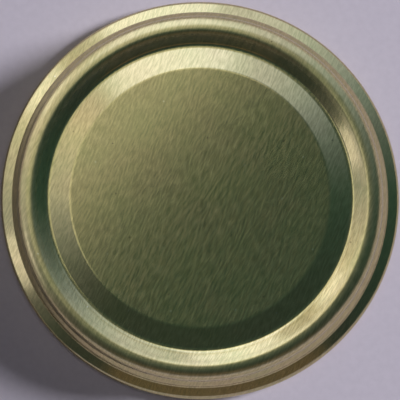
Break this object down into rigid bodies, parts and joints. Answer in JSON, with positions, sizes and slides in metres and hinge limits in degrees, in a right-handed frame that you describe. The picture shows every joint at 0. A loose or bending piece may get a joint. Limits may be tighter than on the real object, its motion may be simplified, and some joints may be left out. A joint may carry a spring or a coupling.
{
  "type": "twist-off lid",
  "caption": "Round tinplate lug cap with a raised rim, stepped panel, flared skirt, rolled edge with inward lugs, and a sealing ring inside.",
  "frame": {"origin": "centre of the circle on which the rolled edge rests, at the lid's lowest point", "axes": "+Z along the lid's axis, out of the panel; +X and +Y each pass through the middle of a lug"},
  "size_m": [0.0702, 0.0702, 0.01],
  "materials": {
    "lacquered_tinplate": "satin",
    "sealing_compound": "matte"
  },
  "bodies": {
    "root": {"lid_shell": "lacquered_tinplate", "sealing_ring": "sealing_compound"}
  },
  "joints": []
}
